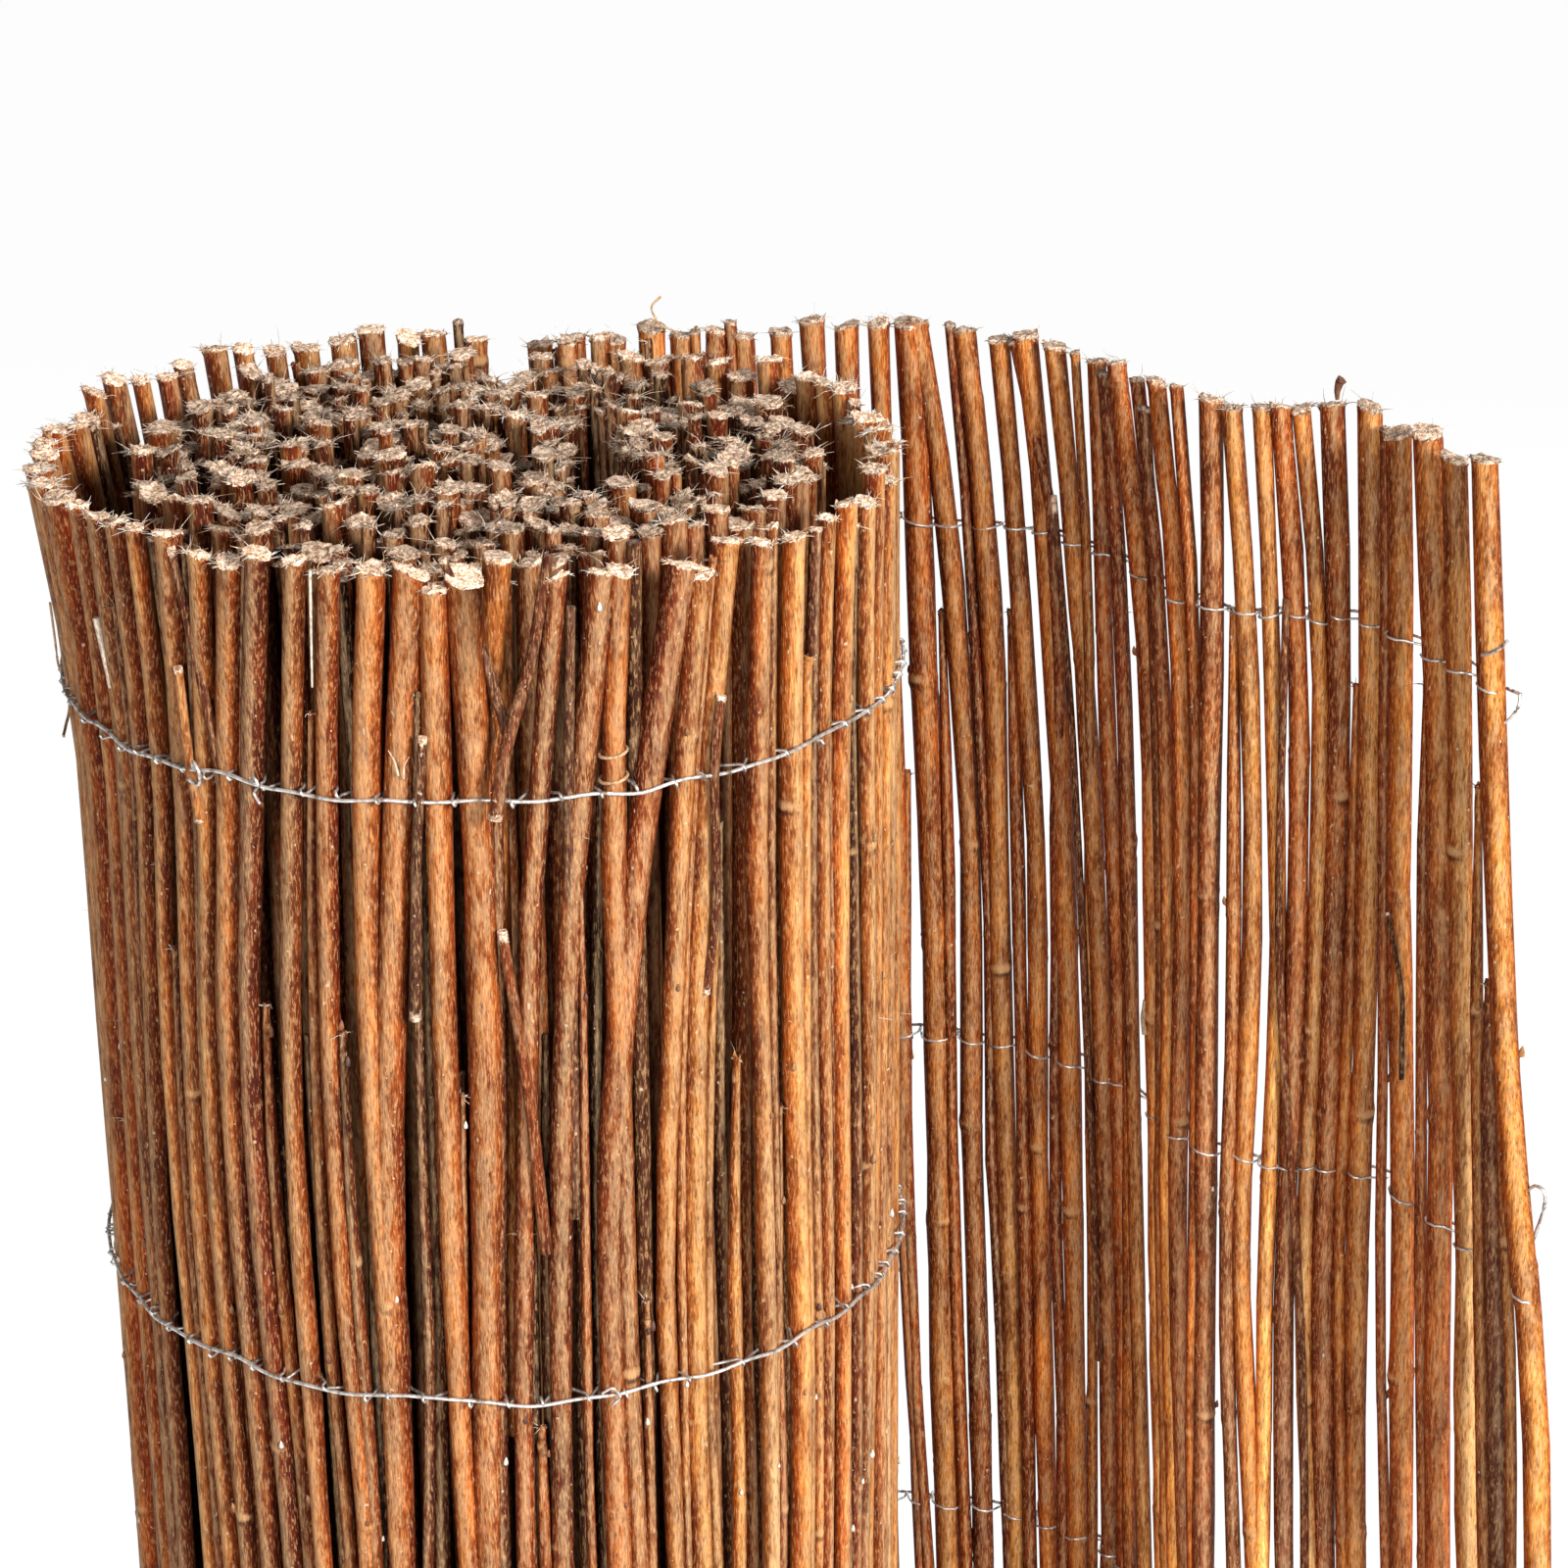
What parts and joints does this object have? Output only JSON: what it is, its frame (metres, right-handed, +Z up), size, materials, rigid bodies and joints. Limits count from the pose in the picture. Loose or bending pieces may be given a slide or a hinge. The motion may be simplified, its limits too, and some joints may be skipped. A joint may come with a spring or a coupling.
{
  "type": "willow screening roll",
  "caption": "Roll of willow rods bound side by side with rows of wire, standing on its end with the free end of the mat unrolled beside it as a screen.",
  "frame": {"origin": "middle of the part's box, on the floor that the roll stands on", "axes": "+Z up along the rods, +X from the roll towards the free edge of the unrolled tail, +Y to the back, where the tail leaves the roll"},
  "size_m": [0.5182, 0.2892, 1],
  "materials": {
    "willow_bark": "satin bark",
    "galvanised_wire": "dull galvanised"
  },
  "bodies": {
    "root": {"wound_roll": "willow_bark", "tail_rods_1": "willow_bark", "tail_rods_2": "willow_bark", "tail_rods_3": "willow_bark", "running_wire_1": "galvanised_wire", "running_wire_2": "galvanised_wire", "running_wire_3": "galvanised_wire", "running_wire_4": "galvanised_wire", "running_wire_5": "galvanised_wire", "stitch_wire_1": "galvanised_wire", "stitch_wire_2": "galvanised_wire", "stitch_wire_3": "galvanised_wire", "stitch_wire_4": "galvanised_wire", "stitch_wire_5": "galvanised_wire"}
  },
  "joints": []
}
